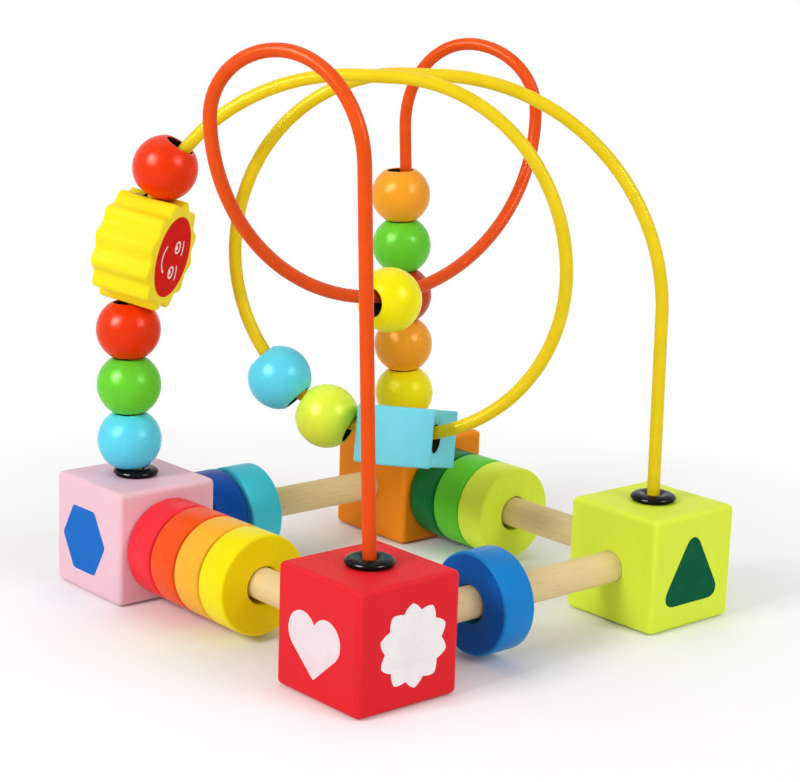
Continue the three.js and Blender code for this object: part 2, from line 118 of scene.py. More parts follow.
class MazeWires(bpy.types.PropertyGroup):
    """Sizes and bends of the two wires."""

    diameter: length("Wire diameter", "Diameter of a coated wire", 4)
    seat: length("Wire seat", "How deep a wire end sits in a block", 20)
    step: length("Step", "Length of one step along a wire", 2)
    yellow_top: length("Yellow crown", "Height of the yellow wire's crown", 162.7)
    yellow_shoulder: length("Yellow shoulder", "Rise of a shoulder of the yellow wire", 69)
    yellow_flat: length("Yellow flat", "Straight stretch at the crown", 11.4)
    yellow_lean: share("Yellow lean", "Lean of the yellow wire per unit of height", 0.013)
    loop_radius: length("Loop radius", "Radius of the yellow wire's loop", 53)
    loop_centre: length("Loop centre", "Height of the loop's centre", 105.8)
    loop_turn: angle("Loop turn", "Turn of the loop about the upright axis", 13.9)
    orange_lean: share("Orange lean", "Lean of the orange wire per unit of height", 0.045)
    post_tip: length("Post tip", "How far an orange post comes inwards", 5.3)
    lobe_swing: length("Lobe swing", "How far a lobe reaches sideways", 44)
    lobe_reach: length("Lobe reach", "How far a lobe's outermost point stays from the middle", 57)
    lobe_crown: share("Lobe crown", "Where the crown lies between post and outermost point", 0.52)
    lobe_drop: length("Lobe drop", "From the crown down to the outermost point", 20)
    front_rise: length("Front rise", "Height where the front lobe leaves its post", 144)
    front_crown: length("Front crown", "Height of the front lobe above its post", 28.5)
    back_rise: length("Back rise", "Height where the back lobe leaves its post", 140.5)
    back_crown: length("Back crown", "Height of the back lobe above its post", 29)
    dip_height: length("Dip height", "Lowest point of the orange wire between its lobes", 96.3)


class MazeBeads(bpy.types.PropertyGroup):
    """Sizes and places of the beads, the sun and the moon."""

    diameter: length("Bead diameter", "Diameter of a round bead", 20)
    length: length("Bead length", "Length of a round bead along its bore", 17)
    bore_play: length("Bore play", "Radial clearance of a bore on its wire", 2.5)
    bore_gap: length("Bore gap", "Gap between the wire and the side of the bore that leans on it", 0.6)
    post_gap: length("Post gap", "Gap between beads on the pink post", 0.5)
    back_gap: length("Back gap", "Gap between beads on the back post", 0.4)
    back_foot_gap: length("Back foot gap", "Gap between the back post's collar and its lowest bead", 1.6)
    loop_angle: angle("Loop bead angle", "Place of the loop's lime bead, left of the lowest point", 23.45)
    shape_round: length("Shape rounding", "Rounding of the sun's and moon's edges", 0.9)
    sun_diameter: length("Sun diameter", "Diameter of the sun over its scallops", 34.6)
    sun_thickness: length("Sun thickness", "Thickness of the sun", 19.4)
    sun_gap: length("Sun gap", "Gap between the sun and the bead below it", 0.5)
    arch_gap: length("Arch gap", "Gap between the sun and the bead above it", 0.9)
    sun_scallops: IntProperty(name="Sun scallops", description="Scallops round the sun", default=12, min=3)
    sun_depth: length("Scallop depth", "Depth of the sun's scallops", 2)
    sun_turn: angle("Sun turn", "Turn of the sun's face about the wire", -13)
    moon_radius: length("Moon radius", "Radius of the crescent's outer side", 17)
    moon_height: length("Moon height", "Height of the crescent", 17.9)
    moon_hollow: length("Moon hollow", "Radius of the crescent's hollow side", 27.6)
    moon_waist: length("Moon waist", "Thickness of the crescent where the wire goes through", 24.9)
    moon_roll: angle("Moon roll", "Turn of the moon about the wire", -13)


class MazePrints(bpy.types.PropertyGroup):
    """Sizes of the prints on the blocks and the sun."""

    ink: length("Ink", "Thickness of the printed ink", 0.08)
    heart_lobe: length("Heart lobe", "Radius of a lobe of the heart", 6)
    heart_side: length("Heart side", "From the heart's middle to the centre of a lobe", 5.15)
    heart_rise: length("Heart rise", "From the heart's tip up to the centre of a lobe", 12.4)
    heart_tip: length("Heart tip", "Rounding of the heart's tip", 0.6)
    flower_radius: length("Flower radius", "Radius of the flower between its petals", 10)
    flower_petal: length("Flower petal", "How far a petal stands out", 2.1)
    flower_turn: angle("Flower turn", "Direction of one petal", 93.5)
    hexagon_radius: length("Hexagon radius", "From the hexagon's middle to a corner", 11.8)
    hexagon_round: length("Hexagon rounding", "Rounding of the hexagon's corners", 0.8)
    triangle_radius: length("Triangle radius", "From the triangle's middle to a corner", 15.9)
    triangle_round: length("Triangle rounding", "Rounding of the triangle's corners", 6.2)


class MazePaints(bpy.types.PropertyGroup):
    """Colours of the finishes."""

    pink: paint("Pink block", "f5c8d6")
    red: paint("Red block", "e8232d")
    lime: paint("Lime block", "e3f746")
    orange: paint("Orange block", "f88f14")
    beech: paint("Bare rails", "f0d6a0")
    disc_red: paint("Red disc", "f7303e")
    disc_orange_red: paint("Orange-red disc", "f85517")
    disc_amber: paint("Amber disc", "fdb833")
    disc_yellow: paint("Yellow disc", "fdea06")
    disc_blue: paint("Blue disc", "1784d2")
    # The blue disc's flat sides get a deeper blue: painted shade
    blue_sides_painted_shade: paint("Blue disc's flat sides", "0b5fbe")
    disc_dark_green: paint("Dark green disc", "076f33")
    disc_green: paint("Green disc", "60cc2e")
    disc_lime: paint("Lime disc", "e3f946")
    disc_dark_blue: paint("Dark blue disc", "0652b6")
    disc_cyan: paint("Cyan disc", "4cdffa")
    bead_cyan: paint("Cyan beads", "5fd9f4")
    bead_green: paint("Green beads", "6ad530")
    bead_red: paint("Red beads", "eb3602")
    bead_lime: paint("Lime bead", "e2f646")
    bead_yellow: paint("Yellow beads", "fdf206")
    bead_amber: paint("Amber beads", "fca828")
    bead_dark_red: paint("Dark red bead", "c83c10")
    sun: paint("Sun", "ffec22")
    moon: paint("Moon", "77daeb")
    wire_yellow: paint("Yellow wire", "eed016")
    wire_orange: paint("Orange wire", "e84f08")
    collar: paint("Collars", "0c0d0e")
    # The bores' bare wood, darkened as painted shade inside them
    bore: paint("Bores", "2a2017")
    print_heart: paint("Heart print", "f1dfe4")
    print_flower: paint("Flower print", "fdf6f8")
    print_hexagon: paint("Hexagon print", "1d70ca")
    print_triangle: paint("Triangle print", "015c3b")
    print_red: paint("Red print on the sun", "de0400")


def sizes():
    """The sizes of the base, the wires and the beads."""
    scene = bpy.context.scene
    return scene.maze_base, scene.maze_wires, scene.maze_beads


# Materials

# Depth of the finest relief in metres, and the scale of wood grain per millimetre
FINE_RELIEF = 0.0001
GRAIN = (0.5, 0.5, 0.035)

# Roughness, gloss and relief of each kind of paint
BLOCK_PAINT = (0.45, 0.1, 0.08)
DISC_PAINT = (0.33, 0.1, 0.08)
SHAPE_PAINT = (0.38, 0.07, 0.06)
BEAD_PAINT = (0.28, 0.14, 0.03)


def add_node(tree, kind, inputs=None, **settings):
    """A new node with its settings and the values of its unlinked inputs."""
    node = tree.nodes.new(kind)
    for key, value in settings.items():
        setattr(node, key, value)
    for key, value in (inputs or {}).items():
        node.inputs[key].default_value = value
    return node


def fed(tree, kind, *sources, **settings):
    """The first output of a new node whose inputs are linked in order."""
    node = add_node(tree, kind, **settings)
    for socket, source in zip(node.inputs, sources):
        tree.links.new(source, socket)
    return node.outputs[0]


def emptied(owner):
    """The node tree of a material or world, with nothing in it."""
    owner.use_nodes = True
    owner.node_tree.nodes.clear()
    return owner.node_tree


def show(tree, shader, kind="Material"):
    """Links a shader to the tree's output."""
    output = add_node(tree, "ShaderNodeOutput" + kind)
    tree.links.new(shader, output.inputs["Surface"])


def new_finish(name, gloss):
    """A material with an empty tree but for its shader, as (material, tree, shader)."""
    material = bpy.data.materials.new(name)
    tree = emptied(material)
    shader = add_node(tree, "ShaderNodeBsdfPrincipled", {"Specular IOR Level": gloss})
    show(tree, shader.outputs["BSDF"])
    return material, tree, shader


def toned(colour, factor, lift=0.0):
    """A darker or lighter tone of a colour."""
    return (*[min(1.0, c * factor + lift) for c in colour[:3]], 1.0)


def attribute(tree, name):
    """A value that is kept on the piece's own points."""
    return add_node(tree, "ShaderNodeAttribute", attribute_name=name).outputs["Fac"]


def noise_in_mm(tree, scale, detail=2.0, roughness=0.5):
    """Noise on the piece's own coordinates, with one scale per millimetre or one for each axis."""
    scales = scale if isinstance(scale, (tuple, list)) else [scale] * 3
    coords = add_node(tree, "ShaderNodeTexCoord")
    mapping = add_node(tree, "ShaderNodeMapping", {"Scale": [1000 * s for s in scales]})
    noise = add_node(tree, "ShaderNodeTexNoise", {"Scale": 1.0, "Detail": detail, "Roughness": roughness})
    tree.links.new(coords.outputs["Object"], mapping.inputs["Vector"])
    tree.links.new(mapping.outputs["Vector"], noise.inputs["Vector"])
    return noise.outputs["Fac"]


def spread(tree, value, low, high, to_low=0.0, to_high=1.0):
    """A value stretched from one range to another and clamped."""
    node = add_node(
        tree,
        "ShaderNodeMapRange",
        {"From Min": low, "From Max": high, "To Min": to_low, "To Max": to_high},
    )
    tree.links.new(value, node.inputs["Value"])
    return node.outputs["Result"]


def weighted(tree, first, second, weight):
    """first plus weight times second."""
    node = add_node(tree, "ShaderNodeMath", {1: weight}, operation="MULTIPLY_ADD")
    tree.links.new(second, node.inputs[0])
    tree.links.new(first, node.inputs[2])
    return node.outputs["Value"]


def mixed(tree, factor, first, second):
    """A colour between two others. Each is a colour or another node's output."""
    node = add_node(tree, "ShaderNodeMix", data_type="RGBA")
    tree.links.new(factor, node.inputs["Factor"])
    for key, value in ((6, first), (7, second)):
        if isinstance(value, tuple):
            node.inputs[key].default_value = value
        else:
            tree.links.new(value, node.inputs[key])
    return node.outputs[2]


def finish_surface(tree, shader, colour, roughness, height, strength, depth=FINE_RELIEF):
    """Gives a shader its colour, its roughness, and relief of a depth in metres."""
    bump = add_node(tree, "ShaderNodeBump", {"Strength": strength, "Distance": depth})
    tree.links.new(height, bump.inputs["Height"])
    sockets = {"Base Color": colour, "Roughness": roughness, "Normal": bump.outputs["Normal"]}
    for name, source in sockets.items():
        tree.links.new(source, shader.inputs[name])


def painted_wood(name, colour, roughness, gloss, relief, edges=False, sides=None):
    """Satin paint over sanded wood: uneven tone, a hint of grain, edges lightened as rubbed paint and
    painted highlight, and flat sides darkened as painted shade.
    """
    material, tree, shader = new_finish(name, gloss)
    cloud = noise_in_mm(tree, 0.045)
    lines = noise_in_mm(tree, GRAIN, 4, 0.6)
    peel = noise_in_mm(tree, 0.7)
    tone = spread(tree, weighted(tree, cloud, lines, 0.7), 0.55, 1.15)
    coat = mixed(tree, tone, toned(colour, 0.96), toned(colour, 1.02))
    if edges:
        # Lighter edges: partly rubbed paint, partly a painted highlight
        patches = spread(tree, noise_in_mm(tree, 0.35, 3), 0.35, 0.7, 0.1, 0.6)
        wear_and_highlight = fed(tree, "ShaderNodeMath", attribute(tree, "edge"), patches, operation="MULTIPLY")
        coat = mixed(tree, wear_and_highlight, coat, toned(colour, 1.06, 0.02))
    # Painted shade: the flat sides are given a deeper colour
    if sides:
        coat = mixed(tree, attribute(tree, "flat_side"), coat, toned(sides, 1.0))
    dullness = spread(tree, peel, 0.3, 0.7, roughness - 0.05, roughness + 0.06)
    finish_surface(tree, shader, coat, dullness, weighted(tree, peel, lines, 0.8), relief)
    return material


def bare_beech(name, colour, along):
    """Sanded beech: fine fibres along one axis, short dark flecks and slow changes of tone."""
    material, tree, shader = new_finish(name, 0.25)

    def streaks(lengthwise, across, detail, roughness=0.5):
        scale = [lengthwise if i == along else across for i in range(3)]
        return noise_in_mm(tree, scale, detail, roughness)

    fibres = streaks(0.02, 1.3, 4, 0.65)
    flecks = streaks(0.12, 1.9, 1)
    bands = streaks(0.006, 0.28, 2)
    tone = spread(tree, weighted(tree, bands, fibres, 0.8), 0.6, 1.25)
    wood = mixed(tree, tone, toned(colour, 0.9), toned(colour, 1.06))
    wood = mixed(tree, spread(tree, flecks, 0.62, 0.74, 0.0, 0.35), wood, toned(colour, 0.65))
    dullness = spread(tree, fibres, 0.3, 0.7, 0.5, 0.68)
    finish_surface(tree, shader, wood, dullness, weighted(tree, fibres, flecks, -0.5), 0.3, 0.00012)
    return material


def coated_wire(name, colour):
    """Glossy plastic coat on wire: smooth, with faint ripples and scuffs."""
    material, tree, shader = new_finish(name, 0.15)
    ripple = noise_in_mm(tree, 0.16)
    scuffs = noise_in_mm(tree, 0.2)
    coat = mixed(tree, spread(tree, ripple, 0.3, 0.7), toned(colour, 0.94), toned(colour, 1.03))
    dullness = spread(tree, scuffs, 0.35, 0.75, 0.33, 0.4)
    finish_surface(tree, shader, coat, dullness, ripple, 0.02, 2 * FINE_RELIEF)
    return material


def black_plastic(name, colour):
    """Moulded glossy plastic with faint dust."""
    material, tree, shader = new_finish(name, 0.1)
    dust = noise_in_mm(tree, 0.7, 4, 0.65)
    coat = mixed(tree, spread(tree, dust, 0.5, 0.8), toned(colour, 1.0), toned(colour, 1.6, 0.004))
    finish_surface(tree, shader, coat, spread(tree, dust, 0.35, 0.75, 0.1, 0.24), dust, 0.05)
    return material


def printed_ink(name, colour, under):
    """Screen-printed ink: mottled, with the paint below showing faintly where the ink is thin."""
    material, tree, shader = new_finish(name, 0.04)
    blotch = noise_in_mm(tree, 0.22, 3, 0.6)
    speck = noise_in_mm(tree, 1.6)
    thin = spread(tree, weighted(tree, blotch, speck, 0.6), 0.92, 1.12, 0.0, 0.03)
    ink = mixed(tree, spread(tree, blotch, 0.35, 0.65), toned(colour, 0.96), toned(colour, 1.02))
    ink = mixed(tree, thin, ink, toned(under, 1.0))
    finish_surface(tree, shader, ink, spread(tree, speck, 0.3, 0.7, 0.42, 0.56), speck, 0.12)
    return material


def shaded_raw_bore(name, colour):
    """Bare drilled wood, dull, with turned rings of tone, darkened as painted shade inside the bore."""
    material, tree, shader = new_finish(name, 0.05)
    rings = noise_in_mm(tree, 0.8, 3, 0.6)
    tone = mixed(tree, spread(tree, rings, 0.35, 0.65), toned(colour, 0.7), toned(colour, 1.25))
    finish_surface(tree, shader, tone, spread(tree, rings, 0.3, 0.7, 0.7, 0.9), rings, 0.2)
    return material


def finish_for(slot):
    """The material of one of the record's slots, made once."""
    name = slot + "_finish"
    known = bpy.data.materials.get(name)
    if known:
        return known
    paints = bpy.context.scene.maze_paints
    colour = tuple(getattr(paints, slot))
    if slot.startswith("wire_"):
        return coated_wire(name, colour)
    if slot == "collar":
        return black_plastic(name, colour)
    if slot == "bore":
        return shaded_raw_bore(name, colour)
    if slot.startswith("disc_"):
        # Only the blue disc gets painted shade on its flat sides
        sides = tuple(paints.blue_sides_painted_shade) if slot == "disc_blue" else None
        return painted_wood(name, colour, *DISC_PAINT, sides=sides)
    if slot in BLOCKS:
        return painted_wood(name, colour, *BLOCK_PAINT, edges=True)
    if slot in ("sun", "moon"):
        return painted_wood(name, colour, *SHAPE_PAINT)
    return painted_wood(name, colour, *BEAD_PAINT)


# Mesh tools


def smooth_with_creases(bm, degrees=38):
    """Smooth shading, with edges left sharp where two faces meet at more than an angle."""
    for face in bm.faces:
        face.smooth = True
    for edge in bm.edges:
        edge.smooth = len(edge.link_faces) != 2 or edge.calc_face_angle(0) < math.radians(degrees)


def keep_ends_flat(bm):
    """Flat shading on a plate's two ends, the only faces with many corners."""
    for face in bm.faces:
        face.smooth = len(face.verts) < 10


def close_up(bm):
    """Merges doubled points and turns every face outwards."""
    bmesh.ops.remove_doubles(bm, verts=bm.verts, dist=1e-6)
    bmesh.ops.recalc_face_normals(bm, faces=bm.faces)


def round_edges(bm, edges, offset, segments):
    """Rounds the given edges."""
    bmesh.ops.bevel(
        bm,
        geom=list(edges),
        offset=offset,
        offset_type="OFFSET",
        segments=segments,
        profile=0.5,
        affect="EDGES",
        material=-1,
        clamp_overlap=True,
    )


def round_corners(bm, corners, offset, segments):
    """Rounds the given corners of a flat outline."""
    bmesh.ops.bevel(
        bm, geom=corners, offset=offset, segments=segments, profile=0.5, affect="VERTICES", material=-1
    )


def wavy_outline(steps, reach_at):
    """A filled outline whose reach follows a rule of the angle."""
    bm = bmesh.new()
    for vert in bmesh.ops.create_circle(bm, cap_ends=True, segments=steps, radius=1)["verts"]:
        turn = math.atan2(vert.co.y, vert.co.x)
        vert.co = Vector((math.cos(turn), math.sin(turn), 0)) * reach_at(turn)
    return bm


def thicken(bm, height):
    """Draws a flat outline up into a closed plate."""
    grown = bmesh.ops.extrude_face_region(bm, geom=bm.faces[:])["geom"]
    top = [g for g in grown if isinstance(g, bmesh.types.BMVert)]
    bmesh.ops.translate(bm, vec=(0, 0, height), verts=top)
    close_up(bm)


def folds(bm, degrees):
    """The edges where two faces meet at more than an angle."""
    limit = math.radians(degrees)
    return [e for e in bm.edges if len(e.link_faces) == 2 and e.calc_face_angle(0) > limit]


def turned_ring(profile, steps):
    """A ring turned about Z from a closed profile of (radius, height) corners."""
    bm = bmesh.new()
    corners = [bm.verts.new((r, 0, z)) for r, z in profile]
    for first, second in zip(corners, corners[1:] + corners[:1]):
        bm.edges.new((first, second))
    spin_about_z(bm, steps)
    return bm


def spin_about_z(bm, steps):
    """Spins what the mesh holds a full turn about Z and closes it."""
    bmesh.ops.spin(
        bm,
        geom=bm.verts[:] + bm.edges[:],
        cent=(0, 0, 0),
        axis=(0, 0, 1),
        angle=FULL_TURN,
        steps=steps,
        use_merge=True,
        use_duplicate=False,
    )
    close_up(bm)


def new_object(name, bm):
    """An object at the origin that holds the mesh."""
    mesh = bpy.data.meshes.new(name)
    bm.to_mesh(mesh)
    bm.free()
    obj = bpy.data.objects.new(name, mesh)
    bpy.context.scene.collection.objects.link(obj)
    return obj


def drilled(obj, cutters):
    """Cuts holes with the given objects, which are then removed."""
    for cutter in cutters:
        hole = obj.modifiers.new("hole", "BOOLEAN")
        hole.operation = "DIFFERENCE"
        hole.solver = "EXACT"
        hole.object = cutter
    cut = bpy.data.meshes.new_from_object(obj.evaluated_get(bpy.context.evaluated_depsgraph_get()))
    obj.modifiers.clear()
    whole = obj.data
    obj.data = cut
    bpy.data.meshes.remove(whole)
    for cutter in cutters:
        mesh = cutter.data
        bpy.data.objects.remove(cutter)
        bpy.data.meshes.remove(mesh)


def hole_cutter(diameter, start, end, steps=48):
    """A round cutter from one point to another."""
    bm = bmesh.new()
    along = end - start
    turn = UP.rotation_difference(along.normalized()).to_matrix().to_4x4()
    bmesh.ops.create_cone(
        bm,
        cap_ends=True,
        segments=steps,
        radius1=diameter / 2,
        radius2=diameter / 2,
        depth=along.length,
        matrix=Matrix.Translation((start + end) / 2) @ turn,
    )
    for face in bm.faces:
        face.smooth = len(face.verts) == 4
    return new_object("hole_cutter", bm)


def shade_the_bore(obj, centre, axis):
    """Gives the wall of a piece's bore its own dull finish of bare wood, darkened as painted shade."""
    _, wires, beads = sizes()
    just_past_wall = 1.002
    reach = (wires.diameter / 2 + beads.bore_play) * just_past_wall
    obj.data.materials.append(finish_for("bore"))
    for face in obj.data.polygons:
        offset = face.center - centre
        beside = (offset - axis * offset.dot(axis)).length
        if beside < reach and abs(face.normal.dot(axis)) < 0.5:
            face.material_index = 1


def dress(obj, material, body, slot, *nodes):
    """Gives a piece its finish and its body, and lets it stand for CAD nodes."""
    obj.data.materials.clear()
    obj.data.materials.append(material)
    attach(obj, body)
    if nodes:
        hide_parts(*nodes)


def add_bored_block(node, slot, bm, centre, axis, reach):
    """A shaped block in place of a CAD node, drilled through along an axis."""
    _, wires, beads = sizes()
    block = new_object(f"{node}_painted", bm)
    bore = wires.diameter + 2 * beads.bore_play
    drilled(block, [hole_cutter(bore, centre - axis * reach, centre + axis * reach, 64)])
    dress(block, finish_for(slot), node, slot, node)
    shade_the_bore(block, centre, axis)


def shiny_pieces():
    """The collection of pieces that reflect the glowing panels."""
    return bpy.data.collections.get("shiny_pieces") or bpy.data.collections.new("shiny_pieces")


def place(bm, centre, x_axis, y_axis):
    """Moves a mesh made at the origin so that its X and Y axes lie along the given ones."""
    z_axis = x_axis.cross(y_axis)
    turn = Matrix((x_axis, y_axis, z_axis)).transposed().to_4x4()
    bmesh.ops.transform(bm, matrix=Matrix.Translation(centre) @ turn, verts=bm.verts)


def place_along(bm, centre, axis):
    """Moves a mesh turned about Z so that Z lies along an axis."""
    turn = UP.rotation_difference(axis).to_matrix().to_4x4()
    bmesh.ops.transform(bm, matrix=Matrix.Translation(centre) @ turn, verts=bm.verts)


# Places


def corner(colour):
    """The point on the ground under a block's centre."""
    base = bpy.context.scene.maze_base
    reach = (base.footprint - base.block) / 2
    signs = {"pink": (-1, 1), "red": (-1, -1), "lime": (1, -1), "orange": (1, 1)}[colour]
    return Vector((signs[0] * reach, signs[1] * reach, 0))


def at_height(point, height):
    """The same place at another height."""
    return Vector((point.x, point.y, height))


class WirePath:
    """A wire's middle line as points at even steps, from straight legs and quarter bends."""

    def __init__(self, legs, lean, step, foot):
        self.lean = lean
        self.foot = foot
        self.points = []
        for kind, start, end in legs:
            reach = math.dist(start, end)
            count = max(2, round(reach / step))
            shares = [i / count for i in range(count + 1)]
            leg = [self.leg_point(kind, start, end, s) for s in shares]
            self.points.extend(leg if not self.points else leg[1:])
        self.distances = [0.0]
        for a, b in zip(self.points, self.points[1:]):
            self.distances.append(self.distances[-1] + (b - a).length)
        self.length = self.distances[-1]

    def leg_point(self, kind, start, end, s):
        """A point of one leg, given by places along the two diagonals and by height."""
        turn = s * math.pi / 2
        late, early = 1 - math.cos(turn), math.sin(turn)
        across, rise = {
            "straight": (s, s),
            "upright first": (late, early),
            "level first": (early, late),
        }[kind]
        side = start[0] + (end[0] - start[0]) * across
        depth = start[1] + (end[1] - start[1]) * across
        height = start[2] + (end[2] - start[2]) * rise
        side -= self.lean * max(0, height - self.foot)
        root = math.sqrt(2)
        return Vector(((side + depth) / root, (depth - side) / root, height))

    def at(self, distance):
        """The point at a distance along the wire."""
        low, high = 0, len(self.points) - 1
        while high - low > 1:
            middle = (low + high) // 2
            if self.distances[middle] <= distance:
                low = middle
            else:
                high = middle
        part = (distance - self.distances[low]) / (self.distances[high] - self.distances[low])
        return self.points[low].lerp(self.points[high], part)

    def seat(self, station, length, drift):
        """Centre and axis of a bored piece that has drifted sideways until it leans on the wire."""
        beads = bpy.context.scene.maze_beads
        tail, head = self.at(station - length / 2), self.at(station + length / 2)
        axis = (head - tail).normalized()
        chord = (tail + head) / 2
        half_bow = (self.at(station) - chord) / 2
        sideways = (drift - axis * drift.dot(axis)).normalized()
        slack = max(0, beads.bore_play - half_bow.length - beads.bore_gap)
        return chord + half_bow + sideways * slack, axis


def turned_back(legs):
    """The same legs turned half a turn about the upright axis and run backwards."""
    kinds = {"straight": "straight", "upright first": "level first", "level first": "upright first"}
    turned = [(kinds[k], (-b[0], -b[1], b[2]), (-a[0], -a[1], a[2])) for k, a, b in legs]
    return turned[::-1]


def diagonal():
    """From the middle to a block's centre along a diagonal."""
    base = bpy.context.scene.maze_base
    return (base.footprint - base.block) / math.sqrt(2)


def yellow_half():
    """Legs of the yellow wire from the pink block to the loop's lowest point."""
    base, wires, _ = sizes()
    post = diagonal()
    radius = wires.loop_radius
    side = (radius * math.cos(wires.loop_turn), -radius * math.sin(wires.loop_turn))
    span = math.hypot(side[0] + post, side[1])

    def on_arch(reach):
        return (-post + (side[0] + post) * reach / span, side[1] * reach / span, wires.yellow_top)

    foot = (-post, 0, wires.yellow_top - wires.yellow_shoulder)
    shoulder = on_arch(span - radius - wires.yellow_flat)
    crown = on_arch(span - radius)
    outer = (*side, wires.loop_centre)
    return [
        ("straight", (-post, 0, base.block - wires.seat), (-post, 0, base.block)),
        ("straight", (-post, 0, base.block), foot),
        ("upright first", foot, shoulder),
        ("straight", shoulder, crown),
        ("level first", crown, outer),
        ("upright first", outer, (0, 0, wires.loop_centre - radius)),
    ]


def orange_half(rise, crown):
    """Legs of the orange wire from a block to its dip."""
    base, wires, _ = sizes()
    foot = (0, -diagonal())
    post = (0, wires.post_tip - diagonal())
    outer = (-wires.lobe_swing, -wires.lobe_reach)
    top = tuple(p + (o - p) * wires.lobe_crown for p, o in zip(post, outer))
    outermost = (*outer, rise + crown - wires.lobe_drop)
    return [
        ("straight", (*foot, base.block - wires.seat), (*foot, base.block)),
        ("straight", (*foot, base.block), (*post, rise)),
        ("upright first", (*post, rise), (*top, rise + crown)),
        ("level first", (*top, rise + crown), outermost),
        ("upright first", outermost, (0, 0, wires.dip_height)),
    ]


def yellow_path():
    """The whole yellow wire."""
    base, wires, _ = sizes()
    legs = yellow_half() + turned_back(yellow_half())
    return WirePath(legs, wires.yellow_lean, wires.step, base.block)


def orange_path():
    """The whole orange wire, and how far along it its dip lies."""
    base, wires, _ = sizes()
    front = orange_half(wires.front_rise, wires.front_crown)
    back = turned_back(orange_half(wires.back_rise, wires.back_crown))
    dip = WirePath(front, wires.orange_lean, wires.step, base.block).length
    return WirePath(front + back, wires.orange_lean, wires.step, base.block), dip


def column_start():
    """Distance from a wire's end to the middle of the first bead on its post."""
    base, wires, beads = sizes()
    return wires.seat + base.seat_gap + base.collar_height + base.seat_gap + beads.length / 2


def sun_station():
    """Distances along the yellow wire to the sun and to the bead above it."""
    beads = bpy.context.scene.maze_beads
    rim = beads.sun_diameter / 2 * math.cos(math.pi / beads.sun_scallops)
    reach = beads.length / 2 + rim
    sun = column_start() + 2 * (beads.length + beads.post_gap) + beads.sun_gap + reach
    return sun, sun + reach + beads.arch_gap


def loop_station(path):
    """Distance along the yellow wire to the loop's lime bead."""
    _, wires, beads = sizes()
    return path.length / 2 + wires.loop_radius * beads.loop_angle


def pitch_on_loop(first, second):
    """Distance round the loop between neighbours of two lengths whose inner edges almost touch."""
    base, wires, beads = sizes()
    flat = math.sqrt((beads.diameter / 2) ** 2 - (beads.length / 2) ** 2)
    inner = wires.loop_radius - flat
    turn = math.atan(first / 2 / inner) + math.atan(second / 2 / inner)
    return wires.loop_radius * turn + base.seat_gap


# Pieces

# Each rail's two blocks, its discs, and the sizes before the first disc and between discs
RAILS = (
    ("pink", "red", ("red", "orange_red", "amber", "yellow"), "seat_gap", "stack_gap"),
    ("red", "lime", ("blue",), "blue_place", "seat_gap"),
    ("orange", "lime", ("dark_green", "green", "lime"), "seat_gap", "seat_gap"),
    ("pink", "orange", ("dark_blue", "cyan"), "back_place", "back_gap"),
)


class MAZE_OT_blocks(bpy.types.Operator):
    """Builds the four painted corner blocks with their holes."""

    bl_idname = "maze.blocks"
    bl_label = "Corner blocks"

    neighbours = {
        "pink": ("red", "orange"),
        "red": ("pink", "lime"),
        "lime": ("red", "orange"),
        "orange": ("lime", "pink"),
    }

    def execute(self, context):
        base, wires = context.scene.maze_base, context.scene.maze_wires
        for colour, near in self.neighbours.items():
            foot = corner(colour)
            centre = at_height(foot, base.block / 2)
            bm = bmesh.new()
            bmesh.ops.create_cube(bm, size=base.block, matrix=Matrix.Translation(centre))
            round_edges(bm, bm.edges, base.block_round, 6)
            for face in bm.faces:
                face.smooth = face.calc_area() < (base.block / 2) ** 2
            block = new_object(f"block_{colour}_painted", bm)
            wire_hole = wires.diameter + 2 * base.hole_gap
            past_top = at_height(foot, base.block * 1.1)
            cutters = [hole_cutter(wire_hole, at_height(foot, base.block - wires.seat), past_top)]
            for other in near:
                towards = (corner(other) - foot).normalized()
                axis = at_height(foot, base.rail_height)
                start = axis + towards * (base.block / 2 - base.rail_seat)
                past_face = axis + towards * base.block * 0.6
                cutters.append(hole_cutter(base.rail_diameter + 2 * base.hole_gap, start, past_face, 64))
            drilled(block, cutters)
            self.mark_edges(block.data, centre, base)
            dress(block, finish_for(colour), BASE_BODY, colour, f"block_{colour}")
        return {"FINISHED"}

    @staticmethod
    def mark_edges(mesh, centre, base):
        """Marks how far each point lies into the block's rounding, for the lighter edges of rubbed paint
        and painted highlight.
        """
        edge = mesh.attributes.new("edge", "FLOAT", "POINT")
        deepest = base.block_round * (1 - math.sqrt(0.5))
        for vertex in mesh.vertices:
            offset = vertex.co - centre
            outermost = max(abs(c) for c in offset)
            second = sorted(abs(c) for c in offset)[1]
            on_round = second > base.block / 2 - base.block_round * 1.01
            depth = (base.block / 2 - outermost) / deepest
            edge.data[vertex.index].value = min(1, max(0, depth)) if on_round else 0


class MAZE_OT_rails(bpy.types.Operator):
    """Builds the four bare wood rails."""

    bl_idname = "maze.rails"
    bl_label = "Rails"

    def execute(self, context):
        base = context.scene.maze_base
        span = base.footprint - 2 * base.block + 2 * base.rail_seat
        for start, end, *_ in RAILS:
            along = (corner(end) - corner(start)).normalized()
            bm = bmesh.new()
            bmesh.ops.create_cone(
                bm,
                cap_ends=True,
                segments=56,
                radius1=base.rail_diameter / 2,
                radius2=base.rail_diameter / 2,
                depth=span,
            )
            round_edges(bm, folds(bm, 60), base.rail_diameter * 0.08, 3)
            smooth_with_creases(bm)
            place_along(bm, at_height((corner(start) + corner(end)) / 2, base.rail_height), along)
            rail = new_object(f"rail_{start}_{end}_bare", bm)
            axis = 0 if abs(along.x) > 0.5 else 1
            material = bare_beech(f"beech_{start}_{end}", tuple(context.scene.maze_paints.beech), axis)
            dress(rail, material, BASE_BODY, "beech", f"rail_{start}_{end}")
        return {"FINISHED"}


